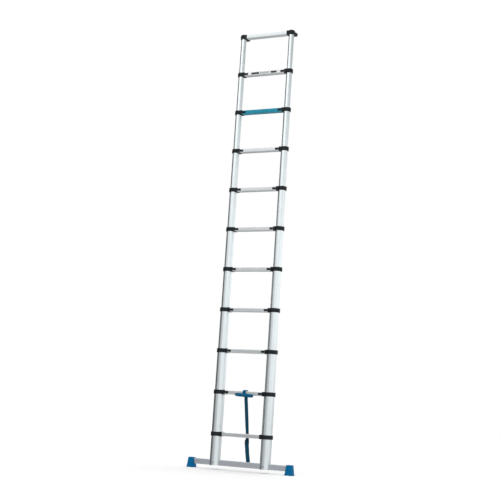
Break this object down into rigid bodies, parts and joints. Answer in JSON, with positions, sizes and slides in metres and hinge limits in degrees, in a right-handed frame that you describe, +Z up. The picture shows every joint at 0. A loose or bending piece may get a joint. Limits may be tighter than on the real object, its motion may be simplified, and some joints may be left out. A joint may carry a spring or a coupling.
{
  "type": "telescoping ladder",
  "caption": "Extended telescoping ladder: nested round stile tubes, hollow rungs in black collars with thumb latches, a stabiliser bar on flared feet, and a carry strap.",
  "frame": {"origin": "on the plane of the two soles, midway between the stiles and on the plane through their axes", "axes": "+Z runs up the stiles, +X to the right of a person who faces the ladder to climb it, and -Y towards that person"},
  "size_m": [0.826, 0.108, 3.2747],
  "materials": {
    "tube_aluminium": "satin anodised, finely drawn along its length",
    "tread_aluminium": "satin anodised extrusion with a grooved top",
    "blue_tread": "semi-matt blue powder coat",
    "collar_black": "finely textured moulded nylon",
    "latch_black": "moulded nylon with thumb ribs",
    "bar_aluminium": "mill-finished drawn aluminium",
    "foot_blue": "matt moulded rubber",
    "handle_blue": "moulded plastic",
    "strap_webbing": "woven polyester webbing",
    "buckle_black": "moulded plastic",
    "bolt_steel": "zinc-plated steel"
  },
  "bodies": {
    "section_01": {"tube_left_01": "tube_aluminium", "tube_right_01": "tube_aluminium", "rung_01": "tread_aluminium", "rung_02": "tread_aluminium", "stabiliser_bar": "bar_aluminium", "foot_left": "foot_blue", "foot_right": "foot_blue", "stabiliser_bolt_left": "bolt_steel", "stabiliser_bolt_right": "bolt_steel", "strap_handle": "handle_blue", "strap_upper": "strap_webbing", "strap_buckle": "buckle_black", "strap_lower": "strap_webbing", "strap_anchor": "bolt_steel"},
    "section_02": {"tube_left_02": "tube_aluminium", "tube_right_02": "tube_aluminium", "rung_03": "tread_aluminium"},
    "section_03": {"tube_left_03": "tube_aluminium", "tube_right_03": "tube_aluminium", "rung_04": "tread_aluminium"},
    "section_04": {"tube_left_04": "tube_aluminium", "tube_right_04": "tube_aluminium", "rung_05": "tread_aluminium"},
    "section_05": {"tube_left_05": "tube_aluminium", "tube_right_05": "tube_aluminium", "rung_06": "tread_aluminium"},
    "section_06": {"tube_left_06": "tube_aluminium", "tube_right_06": "tube_aluminium", "rung_07": "tread_aluminium"},
    "section_07": {"tube_left_07": "tube_aluminium", "tube_right_07": "tube_aluminium", "rung_08": "tread_aluminium"},
    "section_08": {"tube_left_08": "tube_aluminium", "tube_right_08": "tube_aluminium", "rung_09": "blue_tread"},
    "section_09": {"tube_left_09": "tube_aluminium", "tube_right_09": "tube_aluminium", "rung_10": "tread_aluminium"},
    "section_10": {"tube_left_10": "tube_aluminium", "tube_right_10": "tube_aluminium", "rung_11": "tread_aluminium"},
    "latch_left_02": {"latch_left_02": "latch_black"},
    "latch_right_02": {"latch_right_02": "latch_black"},
    "latch_left_03": {"latch_left_03": "latch_black"},
    "latch_right_03": {"latch_right_03": "latch_black"},
    "latch_left_04": {"latch_left_04": "latch_black"},
    "latch_right_04": {"latch_right_04": "latch_black"},
    "latch_left_05": {"latch_left_05": "latch_black"},
    "latch_right_05": {"latch_right_05": "latch_black"},
    "latch_left_06": {"latch_left_06": "latch_black"},
    "latch_right_06": {"latch_right_06": "latch_black"},
    "latch_left_07": {"latch_left_07": "latch_black"},
    "latch_right_07": {"latch_right_07": "latch_black"},
    "latch_left_08": {"latch_left_08": "latch_black"},
    "latch_right_08": {"latch_right_08": "latch_black"},
    "latch_left_09": {"latch_left_09": "latch_black"},
    "latch_right_09": {"latch_right_09": "latch_black"},
    "latch_left_10": {"latch_left_10": "latch_black"},
    "latch_right_10": {"latch_right_10": "latch_black"}
  },
  "joints": [
    {"name": "section_02_slide", "type": "slide", "parent": "section_01", "child": "section_02", "axis": [0, 0, -1], "range_m": [0, 0.261]},
    {"name": "section_03_slide", "type": "slide", "parent": "section_02", "child": "section_03", "axis": [0, 0, -1], "range_m": [0, 0.267]},
    {"name": "section_04_slide", "type": "slide", "parent": "section_03", "child": "section_04", "axis": [0, 0, -1], "range_m": [0, 0.267]},
    {"name": "section_05_slide", "type": "slide", "parent": "section_04", "child": "section_05", "axis": [0, 0, -1], "range_m": [0, 0.267]},
    {"name": "section_06_slide", "type": "slide", "parent": "section_05", "child": "section_06", "axis": [0, 0, -1], "range_m": [0, 0.267]},
    {"name": "section_07_slide", "type": "slide", "parent": "section_06", "child": "section_07", "axis": [0, 0, -1], "range_m": [0, 0.267]},
    {"name": "section_08_slide", "type": "slide", "parent": "section_07", "child": "section_08", "axis": [0, 0, -1], "range_m": [0, 0.267]},
    {"name": "section_09_slide", "type": "slide", "parent": "section_08", "child": "section_09", "axis": [0, 0, -1], "range_m": [0, 0.267]},
    {"name": "section_10_slide", "type": "slide", "parent": "section_09", "child": "section_10", "axis": [0, 0, -1], "range_m": [0, 0.267]},
    {"name": "latch_left_02_slide", "type": "slide", "parent": "section_01", "child": "latch_left_02", "axis": [1, 0, 0], "range_m": [0, 0.012], "stiffness_N_per_m": 300},
    {"name": "latch_right_02_slide", "type": "slide", "parent": "section_01", "child": "latch_right_02", "axis": [-1, 0, 0], "range_m": [0, 0.012], "stiffness_N_per_m": 300},
    {"name": "latch_left_03_slide", "type": "slide", "parent": "section_02", "child": "latch_left_03", "axis": [1, 0, 0], "range_m": [0, 0.012], "stiffness_N_per_m": 300},
    {"name": "latch_right_03_slide", "type": "slide", "parent": "section_02", "child": "latch_right_03", "axis": [-1, 0, 0], "range_m": [0, 0.012], "stiffness_N_per_m": 300},
    {"name": "latch_left_04_slide", "type": "slide", "parent": "section_03", "child": "latch_left_04", "axis": [1, 0, 0], "range_m": [0, 0.012], "stiffness_N_per_m": 300},
    {"name": "latch_right_04_slide", "type": "slide", "parent": "section_03", "child": "latch_right_04", "axis": [-1, 0, 0], "range_m": [0, 0.012], "stiffness_N_per_m": 300},
    {"name": "latch_left_05_slide", "type": "slide", "parent": "section_04", "child": "latch_left_05", "axis": [1, 0, 0], "range_m": [0, 0.012], "stiffness_N_per_m": 300},
    {"name": "latch_right_05_slide", "type": "slide", "parent": "section_04", "child": "latch_right_05", "axis": [-1, 0, 0], "range_m": [0, 0.012], "stiffness_N_per_m": 300},
    {"name": "latch_left_06_slide", "type": "slide", "parent": "section_05", "child": "latch_left_06", "axis": [1, 0, 0], "range_m": [0, 0.012], "stiffness_N_per_m": 300},
    {"name": "latch_right_06_slide", "type": "slide", "parent": "section_05", "child": "latch_right_06", "axis": [-1, 0, 0], "range_m": [0, 0.012], "stiffness_N_per_m": 300},
    {"name": "latch_left_07_slide", "type": "slide", "parent": "section_06", "child": "latch_left_07", "axis": [1, 0, 0], "range_m": [0, 0.012], "stiffness_N_per_m": 300},
    {"name": "latch_right_07_slide", "type": "slide", "parent": "section_06", "child": "latch_right_07", "axis": [-1, 0, 0], "range_m": [0, 0.012], "stiffness_N_per_m": 300},
    {"name": "latch_left_08_slide", "type": "slide", "parent": "section_07", "child": "latch_left_08", "axis": [1, 0, 0], "range_m": [0, 0.012], "stiffness_N_per_m": 300},
    {"name": "latch_right_08_slide", "type": "slide", "parent": "section_07", "child": "latch_right_08", "axis": [-1, 0, 0], "range_m": [0, 0.012], "stiffness_N_per_m": 300},
    {"name": "latch_left_09_slide", "type": "slide", "parent": "section_08", "child": "latch_left_09", "axis": [1, 0, 0], "range_m": [0, 0.012], "stiffness_N_per_m": 300},
    {"name": "latch_right_09_slide", "type": "slide", "parent": "section_08", "child": "latch_right_09", "axis": [-1, 0, 0], "range_m": [0, 0.012], "stiffness_N_per_m": 300},
    {"name": "latch_left_10_slide", "type": "slide", "parent": "section_09", "child": "latch_left_10", "axis": [1, 0, 0], "range_m": [0, 0.012], "stiffness_N_per_m": 300},
    {"name": "latch_right_10_slide", "type": "slide", "parent": "section_09", "child": "latch_right_10", "axis": [-1, 0, 0], "range_m": [0, 0.012], "stiffness_N_per_m": 300}
  ]
}
